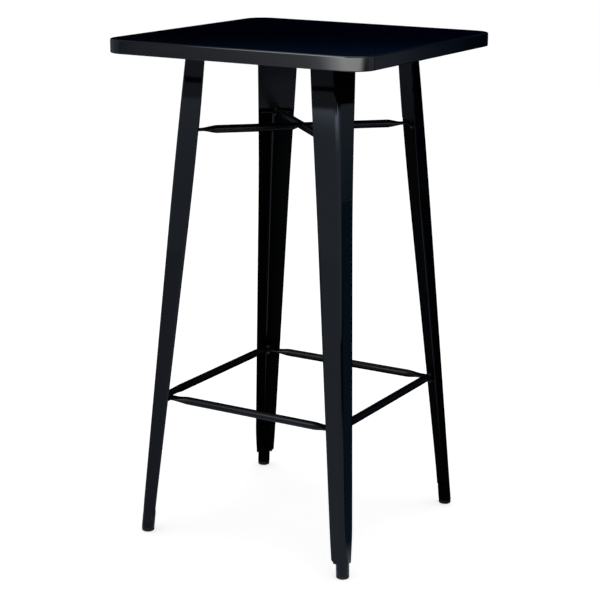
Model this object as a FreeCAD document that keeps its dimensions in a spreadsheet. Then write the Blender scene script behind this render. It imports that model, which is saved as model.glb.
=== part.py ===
import FreeCAD, Part
import Sketcher
import math
import os

# Square pub table of pressed sheet steel: four splayed angle-section legs, a cross brace under the top
# and a ring of foot rails. Millimetres, +Z up, origin on the floor under the middle of the top.
# One leg is drawn in the quadrant +X +Y, where both of its faces look outwards, and is then turned into
# the four corners.

SIZES = (
    ("table_height", 1070, "floor to the top face"),
    ("top_side", 600, "side of the square top"),
    ("top_corner_radius", 47, "plan radius of the top's corners"),
    ("top_edge_radius", 3, "radius along the upper edge of the rim"),
    ("top_sheet", 1.2, "sheet thickness of the top"),
    ("rim_depth", 28.5, "height of the turned-down rim"),
    ("rim_hem", 12, "width of the hem turned in at the foot of the rim"),
    ("channel_depth", 16, "height of the channels under the top"),
    ("channel_web", 52, "outside width of a channel's web"),
    ("channel_brim", 14, "width of each brim that is welded to the top"),
    ("channel_sheet", 1.5, "sheet thickness of a channel"),
    ("channel_end_gap", 50, "edge of the top to the end of a channel"),
    ("channel_setback", 36.4, "leg's outer face at its upper end to the middle of a channel"),
    ("leg_inset_floor", 44.7, "edge of the top in to a leg's outer face, carried down to the floor"),
    ("leg_inset_top", 121.5, "edge of the top in to a leg's outer face, carried up to the top face"),
    ("leg_width_floor", 32, "width of a leg's flange, carried down to the floor"),
    ("leg_width_top", 62, "width of a leg's flange, carried up to the top face"),
    ("leg_sheet", 2, "sheet thickness of a leg"),
    ("bend_radius", 6, "outside radius of a leg's fold along most of its length"),
    ("bend_radius_top", 15, "outside radius of a leg's fold at its upper end"),
    ("flare_length", 387, "length of the leg's upper end over which the fold opens"),
    ("flare_angle", 12, "degrees that each flange opens by at the upper end"),
    ("shoulder_height", 38, "height where the flanges stop and the neck begins"),
    ("blend_height", 110, "height where the fold begins to swell into the neck"),
    ("shoulder_taper", 2.5, "width that a flange loses down to the shoulder"),
    ("neck_radius", 13.9, "outside radius of the round neck"),
    ("neck_proud", 2.1, "round neck standing out past the leg's faces"),
    ("neck_end", 8.5, "height of the neck's lower end"),
    ("foot_inset", 0.3, "rubber foot's side behind the neck's"),
    ("foot_round", 3, "rounding of a rubber foot's lower edge"),
    ("stem_drop", 5, "upper end of a rubber foot's stem below the shoulder"),
    ("stem_clearance", 0.2, "room between the stem and the neck's bore"),
    ("head_plate_thickness", 3, "thickness of the plate on a leg's upper end"),
    ("head_plate_inset", 0.5, "head plate's edge behind the leg's outer face"),
    ("head_plate_nose", 32, "straight ends of a head plate"),
    ("head_bolt_spread", 32, "distance across a channel between a head plate's two bolts"),
    ("gusset_thickness", 3, "thickness of the plates that carry the rods"),
    ("gusset_clearance", 0.2, "weld gap between a gusset and its leg"),
    ("gusset_margin", 5, "gusset's end short of the flange's edge"),
    ("rail_gusset_nose", 17, "straight ends of a foot rail gusset"),
    ("brace_gusset_nose", 6, "straight ends of a brace gusset"),
    ("web_strip", 2.5, "width that the end of a leg's web takes up along a flange"),
    ("web_clearance", 0.5, "weld gap between a web and its leg and head plate"),
    ("web_lift", 4, "lower edge of a web above the flat end of the brace rod"),
    ("rod_diameter", 17, "diameter of the brace rods and foot rails"),
    ("rod_wall", 2, "wall of the tube that they are made of"),
    ("rod_taper", 30, "length over which a tube is pressed flat"),
    ("rail_height", 303.4, "height of the lower pair of foot rails"),
    ("rail_blade", 27, "flat end of a foot rail, up to its bolt"),
    ("brace_drop", 191, "top face down to the middle of the cross brace"),
    ("brace_blade", 25, "flat end of a brace rod, up to its bolt"),
    ("bolt_setback", 21.3, "leg's outer faces to the bolt of a rod"),
    ("lap_clearance", 2.3, "room at each side of the pressed crossing"),
    ("upper_lap_slope", 17.6, "run of the long slope pressed into the upper brace rod"),
    ("lower_lap_slope", 2.5, "run of the short slope pressed into the lower brace rod"),
    ("lap_wall", 8, "length pressed solid past the crossing, at each side"),
    ("bolt_diameter", 6, "shank of all bolts"),
    ("bolt_clearance", 0.6, "room in the bolt holes, across"),
    ("bolt_tip", 2, "bolt showing past its nut"),
    ("bolt_head_diameter", 10.5, "button head"),
    ("bolt_head_height", 3.3, "button head"),
    ("bolt_dome", 2, "rounding of the button head"),
    ("bolt_socket", 4, "hexagon socket of the head, across flats"),
    ("socket_depth", 2, "depth of that socket"),
    ("nut_flats", 10, "nut across flats"),
    ("nut_height", 5, "nut height"),
    ("thread_clearance", 0.1, "room between bolt and nut, all round"),
)

CORNERS = {"right": 0, "back": 90, "left": 180, "front": 270}
SIDES = {"front_right": 0, "back_right": 90, "back_left": 180, "front_left": 270}

doc = FreeCAD.newDocument("pub_table")
sheet = doc.addObject("Spreadsheet::Sheet", "sizes")
parts = []


def fill_sheet():
    """Writes the driving dimensions into the sheet, one aliased cell each."""
    for row, (alias, number, note) in enumerate(SIZES, start=1):
        sheet.set(f"A{row}", note)
        sheet.set(f"B{row}", str(number))
        sheet.setAlias(f"B{row}", alias)
    doc.recompute()


def value(expression):
    """Number that an expression on the sheet has now."""
    result = sheet.evalExpression(expression)
    return float(getattr(result, "Value", result))


# Places along a leg, as expressions of a height

def corner_at(height):
    """Centre line to a leg's outer face."""
    lean = "(sizes.leg_inset_top - sizes.leg_inset_floor)"
    inset = f"(sizes.leg_inset_floor + {lean} * ({height}) / sizes.table_height)"
    return f"(sizes.top_side / 2 - {inset})"


def width_at(height):
    """Width of a leg's flange."""
    growth = "(sizes.leg_width_top - sizes.leg_width_floor)"
    return f"(sizes.leg_width_floor + {growth} * ({height}) / sizes.table_height)"


def opened_share(height):
    """How far up the opened stretch a height lies: 0 where it begins, 1 at the leg's upper end."""
    return f"((({height}) - {FLARE_START}) / sizes.flare_length)"


def flare_at(height):
    """Degrees that each flange is opened by."""
    return f"(sizes.flare_angle * {opened_share(height)} ^ 2)"


def opened_bend_at(height):
    """Outside radius of the fold in the opened stretch."""
    return f"(sizes.bend_radius + (sizes.bend_radius_top - sizes.bend_radius) * {opened_share(height)} ^ 2)"


def swell_at(height, full):
    """Part of an amount that is reached between the blend, where it is nothing, and the shoulder."""
    share = f"((sizes.blend_height - ({height})) / (sizes.blend_height - sizes.shoulder_height))"
    return f"(({full}) * {share} ^ 2)"


def swollen_bend_at(height):
    """Outside radius of the fold where it swells into the neck."""
    return f"(sizes.bend_radius + {swell_at(height, 'sizes.neck_radius - sizes.bend_radius')})"


def neck_middle_at(height):
    """Centre line to the middle of the neck, the same along both axes."""
    return f"({corner_at(height)} + sizes.neck_proud - sizes.neck_radius)"


TOP_UNDERSIDE = "(sizes.table_height - sizes.top_sheet)"
CHANNEL_UNDERSIDE = f"({TOP_UNDERSIDE} - sizes.channel_depth)"
LEG_TOP = f"({CHANNEL_UNDERSIDE} - sizes.head_plate_thickness)"
FLARE_START = f"({LEG_TOP} - sizes.flare_length)"
NECK_BORE = "(sizes.neck_radius - sizes.leg_sheet)"
BLADE = "(2 * sizes.rod_wall)"
BLADE_WIDTH = "(pi * (sizes.rod_diameter - 2 * sizes.rod_wall) / 2 + 2 * sizes.rod_wall)"
UPPER_RAIL_HEIGHT = f"(sizes.rail_height + {BLADE})"
BRACE_HEIGHT = "(sizes.table_height - sizes.brace_drop)"
RAIL_GUSSET_TOP = f"(sizes.rail_height - {BLADE} / 2)"
BRACE_GUSSET_TOP = f"({BRACE_HEIGHT} - {BLADE} / 2)"
WEB_FOOT = f"({BRACE_GUSSET_TOP} + {BLADE} + sizes.web_lift)"
WEB_HEAD = f"({LEG_TOP} - sizes.web_clearance)"
CHANNEL_MIDDLE = f"({corner_at(LEG_TOP)} - sizes.channel_setback)"
HEAD_BOLT_NEAR = f"({CHANNEL_MIDDLE} + sizes.head_bolt_spread / 2)"
HEAD_BOLT_FAR = f"({CHANNEL_MIDDLE} - sizes.head_bolt_spread / 2)"
HEAD_BOLTS = ((HEAD_BOLT_NEAR, HEAD_BOLT_FAR), (HEAD_BOLT_FAR, HEAD_BOLT_NEAR))
RAIL_BOLT = f"({corner_at('sizes.rail_height')} - sizes.bolt_setback)"
BRACE_BOLT = f"({corner_at(BRACE_HEIGHT)} - sizes.bolt_setback)"
HOLE_RADIUS = "((sizes.bolt_diameter + sizes.bolt_clearance) / 2)"
LEVEL_TOLERANCE = 0.01


# Drawing helpers

def bind(target, prop, expression):
    """Ties a property to an expression on the sheet."""
    target.setExpression(prop, expression)


def new_body(label):
    """Empty body that becomes one sub-part."""
    body = doc.addObject("PartDesign::Body", label)
    body.Label = label
    parts.append(body)
    return body


def origin_plane(body, role):
    """One of the body's own origin planes or axes."""
    return next(item for item in body.Origin.OriginFeatures if item.Role == role)


def new_sketch(body, name, role="XY_Plane", along=None, across=None, lift=None):
    """Sketch on an origin plane, moved along its own two axes and lifted off the plane."""
    sketch = body.newObject("Sketcher::SketchObject", f"{body.Name}_{name}")
    sketch.AttachmentSupport = [(origin_plane(body, role), "")]
    sketch.MapMode = "FlatFace"
    for axis, expression in (("x", along), ("y", across), ("z", lift)):
        if expression is not None:
            bind(sketch, f"AttachmentOffset.Base.{axis}", expression)
    return sketch


def dimension(sketch, kind, *where, size):
    """Driving dimension of a sketch, tied to an expression."""
    index = sketch.addConstraint(Sketcher.Constraint(kind, *where, value(size)))
    bind(sketch, f"Constraints[{index}]", size)


def place(sketch, geometry, end, x, y):
    """Fixes a point of a sketch at two coordinates."""
    dimension(sketch, "DistanceX", -1, 1, geometry, end, size=x)
    dimension(sketch, "DistanceY", -1, 1, geometry, end, size=y)


def point(x, y):
    """Point of a sketch from two expressions."""
    return FreeCAD.Vector(value(x), value(y), 0)


def add_circle(sketch, x, y, radius):
    """Circle fixed at two coordinates."""
    circle = Part.Circle(point(x, y), FreeCAD.Vector(0, 0, 1), value(radius))
    index = sketch.addGeometry(circle)
    place(sketch, index, 3, x, y)
    dimension(sketch, "Radius", index, size=radius)


def add_polygon(sketch, corners):
    """Closed outline through fixed corners, each a pair of expressions."""
    count = len(corners)
    lines = []
    for first, second in zip(corners, corners[1:] + corners[:1]):
        lines.append(sketch.addGeometry(Part.LineSegment(point(*first), point(*second))))
    for step, line in enumerate(lines):
        sketch.addConstraint(Sketcher.Constraint("Coincident", line, 2, lines[(step + 1) % count], 1))
        place(sketch, line, 1, *corners[step])


def add_rounded_square(sketch, half, radius):
    """Square about the origin with rounded corners."""
    reach = value(half)
    curve = value(radius)
    inner = reach - curve
    lines = []
    arcs = []
    for turn in range(4):
        spin = FreeCAD.Rotation(FreeCAD.Vector(0, 0, 1), 90 * turn)
        first = spin.multVec(FreeCAD.Vector(reach, -inner, 0))
        second = spin.multVec(FreeCAD.Vector(reach, inner, 0))
        middle = spin.multVec(FreeCAD.Vector(inner, inner, 0))
        lines.append(sketch.addGeometry(Part.LineSegment(first, second)))
        circle = Part.Circle(middle, FreeCAD.Vector(0, 0, 1), curve)
        start = math.radians(90 * turn)
        arcs.append(sketch.addGeometry(Part.ArcOfCircle(circle, start, start + math.pi / 2)))
    for turn in range(4):
        sketch.addConstraint(Sketcher.Constraint("Tangent", lines[turn], 2, arcs[turn], 1))
        sketch.addConstraint(Sketcher.Constraint("Tangent", arcs[turn], 2, lines[(turn + 1) % 4], 1))
        sketch.addConstraint(Sketcher.Constraint(("Vertical", "Horizontal")[turn % 2], lines[turn]))
    for arc in arcs[1:]:
        sketch.addConstraint(Sketcher.Constraint("Equal", arcs[0], arc))
    sketch.addConstraint(Sketcher.Constraint("Symmetric", arcs[0], 3, arcs[2], 3, -1, 1))
    dimension(sketch, "Radius", arcs[0], size=radius)
    place(sketch, arcs[0], 3, f"{half} - {radius}", f"{half} - {radius}")


def add_bend(sketch, middle, radius, flare, flange):
    """Quarter fold about (middle, middle) with a flange tangent to each end.

    Returns the two lines, each with its free end first and last, and the free ends' coordinates.
    """
    far = f"({middle}) + ({radius}) * sin({flare}) - ({flange}) * cos({flare})"
    out = f"({middle}) + ({radius}) * cos({flare}) + ({flange}) * sin({flare})"
    opening = math.radians(value(flare))
    centre = point(middle, middle)
    curve = value(radius)
    circle = Part.Circle(centre, FreeCAD.Vector(0, 0, 1), curve)
    arc = sketch.addGeometry(Part.ArcOfCircle(circle, opening, math.pi / 2 - opening))
    upper = centre + FreeCAD.Vector(math.sin(opening), math.cos(opening), 0) * curve
    lower = centre + FreeCAD.Vector(math.cos(opening), math.sin(opening), 0) * curve
    first = sketch.addGeometry(Part.LineSegment(point(far, out), upper))
    last = sketch.addGeometry(Part.LineSegment(lower, point(out, far)))
    sketch.addConstraint(Sketcher.Constraint("Tangent", first, 2, arc, 2))
    sketch.addConstraint(Sketcher.Constraint("Tangent", arc, 1, last, 1))
    place(sketch, arc, 3, middle, middle)
    dimension(sketch, "Radius", arc, size=radius)
    place(sketch, first, 1, far, out)
    place(sketch, last, 2, out, far)
    return first, last, (far, out), (out, far)


def join_ends(sketch, one, one_end, other, other_end):
    """Straight line between the free ends of two lines."""
    start = sketch.getPoint(one, one_end)
    stop = sketch.getPoint(other, other_end)
    line = sketch.addGeometry(Part.LineSegment(start, stop))
    sketch.addConstraint(Sketcher.Constraint("Coincident", line, 1, one, one_end))
    sketch.addConstraint(Sketcher.Constraint("Coincident", line, 2, other, other_end))


def add_pad(body, sketch, length, symmetric=False):
    """Pad of a sketch along its normal, or half to each side."""
    pad = body.newObject("PartDesign::Pad", f"{sketch.Name}_pad")
    pad.Profile = sketch
    pad.SideType = "Symmetric" if symmetric else "One side"
    bind(pad, "Length", length)
    return pad


def add_cut(body, sketch, depth=None, upwards=False):
    """Cut below a sketch, above it, or with no depth through the whole body; fails if it takes nothing off."""
    doc.recompute()
    before = body.Shape.Volume
    pocket = body.newObject("PartDesign::Pocket", f"{sketch.Name}_cut")
    pocket.Profile = sketch
    pocket.Reversed = upwards
    if depth is None:
        pocket.SideType = "Symmetric"
        pocket.Type = "ThroughAll"
    else:
        bind(pocket, "Length", depth)
    doc.recompute()
    if body.Shape.Volume >= before:
        raise RuntimeError(f"{pocket.Name} cuts nothing")
    return pocket


def round_level_edges(body, base, height, radius):
    """Rounds the edges of a feature that lie wholly at a height."""
    doc.recompute()
    level = value(height)
    edges = []
    for number, edge in enumerate(base.Shape.Edges, start=1):
        box = edge.BoundBox
        if max(abs(box.ZMin - level), abs(box.ZMax - level)) < LEVEL_TOLERANCE:
            edges.append(f"Edge{number}")
    rounding = body.newObject("PartDesign::Fillet", f"{base.Name}_edge")
    rounding.Base = (base, edges)
    bind(rounding, "Radius", radius)
    return rounding


def add_loft(body, kind, sketches):
    """Additive or subtractive loft through sketches."""
    loft = body.newObject(f"PartDesign::{kind}Loft", f"{sketches[0].Name}_loft")
    loft.Profile = sketches[0]
    loft.Sections = sketches[1:]
    return loft


def turn_about_axis(body, degrees):
    """Turns a finished body about the table's vertical axis."""
    body.Placement.Rotation = FreeCAD.Rotation(FreeCAD.Vector(0, 0, 1), degrees)


# The top and what is fixed under it

def make_table_top():
    """Pressed tray: outer block with a rounded upper edge, hollowed from below, with a turned-in hem."""
    body = new_body("table_top")
    half = "(sizes.top_side / 2)"
    rim_foot = "(sizes.table_height - sizes.rim_depth)"
    outline = new_sketch(body, "outline", lift=rim_foot)
    add_rounded_square(outline, half, "sizes.top_corner_radius")
    block = add_pad(body, outline, "sizes.rim_depth")
    round_level_edges(body, block, "sizes.table_height", "sizes.top_edge_radius")
    hollow = new_sketch(body, "hollow", lift=TOP_UNDERSIDE)
    wall_half = f"({half} - sizes.top_sheet)"
    add_rounded_square(hollow, wall_half, "(sizes.top_corner_radius - sizes.top_sheet)")
    add_cut(body, hollow, "sizes.rim_depth")
    hem = new_sketch(body, "hem", lift=rim_foot)
    add_rounded_square(hem, half, "sizes.top_corner_radius")
    add_rounded_square(hem, f"({half} - sizes.rim_hem)", "(sizes.top_corner_radius - sizes.rim_hem)")
    add_pad(body, hem, "sizes.top_sheet")


def make_top_channel(label, degrees):
    """Hat-section channel along X, welded by its brims to the underside of the top."""
    body = new_body(label)
    half = "(sizes.channel_web / 2)"
    inside = f"({half} - sizes.channel_sheet)"
    brim = f"({half} + sizes.channel_brim)"
    brim_underside = f"({TOP_UNDERSIDE} - sizes.channel_sheet)"
    web_top = f"({CHANNEL_UNDERSIDE} + sizes.channel_sheet)"
    side = [(half, CHANNEL_UNDERSIDE), (half, brim_underside), (brim, brim_underside),
            (brim, TOP_UNDERSIDE), (inside, TOP_UNDERSIDE), (inside, web_top)]
    hat = [(f"({CHANNEL_MIDDLE} + {across})", up) for across, up in side]
    hat += [(f"({CHANNEL_MIDDLE} - {across})", up) for across, up in reversed(side)]
    section = new_sketch(body, "section", role="YZ_Plane")
    add_polygon(section, hat)
    add_pad(body, section, "(sizes.top_side - 2 * sizes.channel_end_gap)", symmetric=True)
    holes = new_sketch(body, "holes", lift=CHANNEL_UNDERSIDE)
    for x, y in HEAD_BOLTS:
        for sign in ("", "-"):
            add_circle(holes, f"{sign}{x}", y, HOLE_RADIUS)
    add_cut(body, holes)
    turn_about_axis(body, degrees)


# The legs and the plates inside them

def add_angle_section(body, height, bend, flare, proud="0", loss="0"):
    """Section of a leg at a height: the fold and both flanges, closed by their two ends.

    proud is how far the section stands out past the leg's faces; loss is the width its flanges give up.
    """
    section = new_sketch(body, "section", lift=height)
    middle = f"({corner_at(height)} + {proud} - {bend})"
    flange = f"({width_at(height)} - {bend} - {loss})"
    outer = add_bend(section, middle, bend, flare, flange)
    inner = add_bend(section, middle, f"({bend} - sizes.leg_sheet)", flare, flange)
    join_ends(section, outer[0], 1, inner[0], 1)
    join_ends(section, outer[1], 2, inner[1], 2)
    return section


def add_neck(body):
    """Round neck with a bore, tangent to both outer faces at the shoulder."""
    for kind, radius in (("Additive", "sizes.neck_radius"), ("Subtractive", NECK_BORE)):
        rings = []
        for height in ("sizes.shoulder_height", "sizes.neck_end"):
            ring = new_sketch(body, "neck", lift=height)
            add_circle(ring, neck_middle_at(height), neck_middle_at(height), radius)
            rings.append(ring)
        add_loft(body, kind, rings)


def make_leg(corner):
    """Folded angle-section leg, opened at the top, with a round neck below its notched flanges."""
    body = new_body(f"leg_{corner}")
    half_blend = "((sizes.shoulder_height + sizes.blend_height) / 2)"
    levels = []
    for height in ("sizes.shoulder_height", half_blend, "sizes.blend_height"):
        levels.append((height, swollen_bend_at(height), "0", swell_at(height, "sizes.neck_proud"),
                       swell_at(height, "sizes.shoulder_taper")))
    levels += [(height, opened_bend_at(height), flare_at(height))
               for height in (FLARE_START, BRACE_GUSSET_TOP, LEG_TOP)]
    sections = [add_angle_section(body, *level) for level in levels]
    for stretch in (sections[:3], sections[2:4], sections[3:]):
        add_loft(body, "Additive", stretch)
    add_neck(body)
    turn_about_axis(body, CORNERS[corner])


def make_corner_plate(label, corner, top, thickness, inset, bend, flare, side, nose, holes):
    """Level plate that follows a leg's fold at a given height.

    inset is the plate's distance behind the leg's outer face; side is its straight edge along a flange.
    """
    body = new_body(f"{label}_{corner}")
    outline = new_sketch(body, "outline", lift=f"({top} - {thickness})")
    middle = f"({corner_at(top)} - {bend})"
    first, last, start, stop = add_bend(outline, middle, f"({bend} - {inset})", flare, side)
    first_nose = (f"{start[0]} - {nose} * sin({flare})", f"{start[1]} - {nose} * cos({flare})")
    last_nose = (f"{stop[0]} - {nose} * cos({flare})", f"{stop[1]} - {nose} * sin({flare})")
    route = [(start, first_nose), (first_nose, last_nose), (last_nose, stop)]
    edges = [outline.addGeometry(Part.LineSegment(point(*one), point(*two))) for one, two in route]
    outline.addConstraint(Sketcher.Constraint("Coincident", edges[0], 1, first, 1))
    outline.addConstraint(Sketcher.Constraint("Coincident", edges[0], 2, edges[1], 1))
    outline.addConstraint(Sketcher.Constraint("Coincident", edges[1], 2, edges[2], 1))
    outline.addConstraint(Sketcher.Constraint("Coincident", edges[2], 2, last, 2))
    place(outline, edges[1], 1, *first_nose)
    place(outline, edges[1], 2, *last_nose)
    add_pad(body, outline, thickness)
    bores = new_sketch(body, "bores", lift=top)
    for x, y in holes:
        add_circle(bores, x, y, HOLE_RADIUS)
    add_cut(body, bores)
    turn_about_axis(body, CORNERS[corner])


def make_leg_plates(corner):
    """Head plate, brace gusset and foot rail gusset of one leg."""
    head_top = f"({LEG_TOP} + sizes.head_plate_thickness)"
    head_side = f"({width_at(LEG_TOP)} - sizes.bend_radius_top)"
    make_corner_plate("leg_head_plate", corner, head_top, "sizes.head_plate_thickness",
                      "sizes.head_plate_inset", "sizes.bend_radius_top", "sizes.flare_angle",
                      head_side, "sizes.head_plate_nose", HEAD_BOLTS)
    gussets = (
        ("brace_gusset", BRACE_GUSSET_TOP, opened_bend_at(BRACE_GUSSET_TOP), flare_at(BRACE_GUSSET_TOP),
         "sizes.brace_gusset_nose", BRACE_BOLT),
        ("rail_gusset", RAIL_GUSSET_TOP, "sizes.bend_radius", "0", "sizes.rail_gusset_nose", RAIL_BOLT),
    )
    behind = "(sizes.leg_sheet + sizes.gusset_clearance)"
    for label, top, bend, flare, nose, bolt in gussets:
        side = f"({width_at(top)} - {bend} - sizes.gusset_margin)"
        make_corner_plate(label, corner, top, "sizes.gusset_thickness", behind, bend, flare, side, nose,
                          [(bolt, bolt)])


def make_leg_web(corner):
    """Flat web that closes a leg's open side from its upper end down to the brace.

    Its section at a height is a strip flush with the ends of both flanges, with its own ends along their
    inner faces.
    """
    body = new_body(f"leg_web_{corner}")
    sections = []
    for height in (WEB_FOOT, f"(({WEB_FOOT} + {WEB_HEAD}) / 2)", WEB_HEAD):
        bend, flare = opened_bend_at(height), flare_at(height)
        middle = f"({corner_at(height)} - {bend})"
        radius = f"({bend} - sizes.leg_sheet - sizes.web_clearance)"
        flange = f"({width_at(height)} - {bend})"
        end = []
        for reach in (flange, f"({flange} - sizes.web_strip)"):
            end.append((f"({middle} + {radius} * sin({flare}) - {reach} * cos({flare}))",
                        f"({middle} + {radius} * cos({flare}) + {reach} * sin({flare}))"))
        section = new_sketch(body, "section", lift=height)
        add_polygon(section, [*end, *((y, x) for x, y in reversed(end))])
        sections.append(section)
    add_loft(body, "Additive", sections)
    turn_about_axis(body, CORNERS[corner])


def make_rubber_foot(corner):
    """Rubber cap under a neck with a stem that leans with the leg inside the neck's bore."""
    body = new_body(f"rubber_foot_{corner}")
    middle = neck_middle_at("sizes.neck_end")
    cap = new_sketch(body, "cap")
    add_circle(cap, middle, middle, "(sizes.neck_radius - sizes.foot_inset)")
    block = add_pad(body, cap, "sizes.neck_end")
    round_level_edges(body, block, "0", "sizes.foot_round")
    rings = []
    for height in ("sizes.neck_end", "(sizes.shoulder_height - sizes.stem_drop)"):
        ring = new_sketch(body, "stem", lift=height)
        centre = neck_middle_at(height)
        add_circle(ring, centre, centre, f"({NECK_BORE} - sizes.stem_clearance)")
        rings.append(ring)
    add_loft(body, "Additive", rings)
    turn_about_axis(body, CORNERS[corner])


# The rods of the brace and the foot ring

def add_quartered_circle(sketch, radius):
    """Circle about the origin in four arcs that meet on the diagonals."""
    curve = Part.Circle(FreeCAD.Vector(0, 0, 0), FreeCAD.Vector(0, 0, 1), value(radius))
    arcs = []
    for turn in range(4):
        start = math.radians(90 * turn - 45)
        arcs.append(sketch.addGeometry(Part.ArcOfCircle(curve, start, start + math.pi / 2)))
    for turn, arc in enumerate(arcs):
        sketch.addConstraint(Sketcher.Constraint("Coincident", arc, 2, arcs[(turn + 1) % 4], 1))
    for arc in arcs[:3]:
        sketch.addConstraint(Sketcher.Constraint("Coincident", arc, 3, -1, 1))
    sketch.addConstraint(Sketcher.Constraint("Equal", arcs[0], arcs[3]))
    dimension(sketch, "Radius", arcs[0], size=radius)
    for turn in (0, 2):
        sign = "-" if turn else ""
        dimension(sketch, "DistanceY", -1, 1, arcs[turn], 2, size=f"{sign}({radius}) * sin(45)")
    dimension(sketch, "DistanceX", -1, 1, arcs[1], 2, size=f"-({radius}) * sin(45)")
    dimension(sketch, "DistanceX", -1, 1, arcs[3], 2, size=f"({radius}) * sin(45)")


def add_flat_end(body, bolt, blade):
    """Pressed-flat end of a tube at +X: taper, blade with a round tip and a bolt hole."""
    reach = f"({bolt} - {blade})"
    half_width = f"({BLADE_WIDTH} / 2)"
    half_blade = f"({BLADE} / 2)"
    round_end = new_sketch(body, "taper_start", role="YZ_Plane", lift=f"({reach} - sizes.rod_taper)")
    add_quartered_circle(round_end, "sizes.rod_diameter / 2")
    flat_start = new_sketch(body, "taper_stop", role="YZ_Plane", lift=reach)
    add_polygon(flat_start, [(half_width, f"-{half_blade}"), (half_width, half_blade),
                             (f"-{half_width}", half_blade), (f"-{half_width}", f"-{half_blade}")])
    taper = add_loft(body, "Additive", [round_end, flat_start])
    plan = new_sketch(body, "blade")
    tip = Part.Circle(point(bolt, "0"), FreeCAD.Vector(0, 0, 1), value(half_width))
    arc = plan.addGeometry(Part.ArcOfCircle(tip, -math.pi / 2, math.pi / 2))
    corners = [(bolt, half_width), (reach, half_width), (reach, f"-{half_width}"), (bolt, f"-{half_width}")]
    lines = []
    for first, second in zip(corners, corners[1:]):
        lines.append(plan.addGeometry(Part.LineSegment(point(*first), point(*second))))
    plan.addConstraint(Sketcher.Constraint("Tangent", arc, 2, lines[0], 1))
    plan.addConstraint(Sketcher.Constraint("Coincident", lines[0], 2, lines[1], 1))
    plan.addConstraint(Sketcher.Constraint("Coincident", lines[1], 2, lines[2], 1))
    plan.addConstraint(Sketcher.Constraint("Tangent", lines[2], 2, arc, 1))
    place(plan, arc, 3, bolt, "0")
    place(plan, lines[1], 1, reach, half_width)
    place(plan, lines[1], 2, reach, f"-{half_width}")
    flat = add_pad(body, plan, BLADE, symmetric=True)
    hole = new_sketch(body, "bolt_hole")
    add_circle(hole, bolt, "0", HOLE_RADIUS)
    bore = add_cut(body, hole)
    return [taper, flat, bore]


def press_middle(body, slope):
    """Presses the middle of a brace rod to half its height, from below, where the other rod crosses it."""
    flat = "(sizes.rod_diameter / 2 + sizes.lap_clearance)"
    core = new_sketch(body, "core", role="YZ_Plane")
    add_circle(core, "0", "0", "sizes.rod_diameter / 2")
    add_pad(body, core, f"2 * ({flat} + {slope} + sizes.lap_wall)", symmetric=True)
    foot = f"({flat} + 2 * {slope})"
    press = new_sketch(body, "press", role="XZ_Plane")
    add_polygon(press, [(flat, "0"), (foot, "-sizes.rod_diameter"),
                        (f"-{foot}", "-sizes.rod_diameter"), (f"-{flat}", "0")])
    add_cut(body, press)


def make_rod(label, bolt, blade, lap_slope=None):
    """Tube along X with both ends pressed flat, and its middle too where it crosses another."""
    body = new_body(label)
    ring = new_sketch(body, "tube", role="YZ_Plane")
    add_circle(ring, "0", "0", "sizes.rod_diameter / 2")
    add_circle(ring, "0", "0", "(sizes.rod_diameter / 2 - sizes.rod_wall)")
    add_pad(body, ring, f"2 * ({bolt} - {blade} - sizes.rod_taper)", symmetric=True)
    if lap_slope:
        press_middle(body, lap_slope)
    ends = add_flat_end(body, bolt, blade)
    mirror = body.newObject("PartDesign::Mirrored", f"{label}_other_end")
    mirror.Originals = ends
    mirror.MirrorPlane = (origin_plane(body, "YZ_Plane"), [""])
    body.Tip = mirror
    return body


def make_brace():
    """Two level rods on the diagonals, lapped at the crossing: one is pressed from below, one from above."""
    along = f"({BRACE_BOLT} * sqrt(2))"
    upper = make_rod("brace_rod_left_right", along, "sizes.brace_blade", "sizes.upper_lap_slope")
    upper.Placement.Rotation = FreeCAD.Rotation(FreeCAD.Vector(0, 0, 1), 45)
    lower = make_rod("brace_rod_back_front", along, "sizes.brace_blade", "sizes.lower_lap_slope")
    lower.Placement.Rotation = FreeCAD.Rotation(135, 0, 180)
    for rod in (upper, lower):
        bind(rod, "Placement.Base.z", BRACE_HEIGHT)


def make_foot_rail(side):
    """One rod of the foot ring. The two that run along Y lie on the ends of the two that run along X."""
    rail = make_rod(f"foot_rail_{side}", RAIL_BOLT, "sizes.rail_blade")
    degrees = SIDES[side]
    turned = degrees % 180 == 0
    rail.Placement.Rotation = FreeCAD.Rotation(FreeCAD.Vector(0, 0, 1), 90 if turned else 0)
    bind(rail, f"Placement.Base.{'x' if turned else 'y'}", RAIL_BOLT if degrees < 180 else f"-{RAIL_BOLT}")
    bind(rail, "Placement.Base.z", UPPER_RAIL_HEIGHT if turned else "sizes.rail_height")


# Fasteners, in groups of like pieces

def add_hexagon(sketch, x, y, flats):
    """Hexagon about a point with two sides along X."""
    around = f"({flats} / sqrt(3))"
    turns = [60 * corner for corner in range(6)]
    add_polygon(sketch, [(f"{x} + {around} * cos({turn})", f"{y} + {around} * sin({turn})") for turn in turns])


def repeat_about_axis(body, features):
    """Copies features into all four corners of the table."""
    doc.recompute()
    pattern = body.newObject("PartDesign::PolarPattern", f"{body.Name}_corners")
    pattern.Originals = features
    pattern.Axis = (origin_plane(body, "Z_Axis"), [""])
    pattern.Angle = 360
    pattern.Occurrences = len(CORNERS)
    body.Tip = pattern


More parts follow.
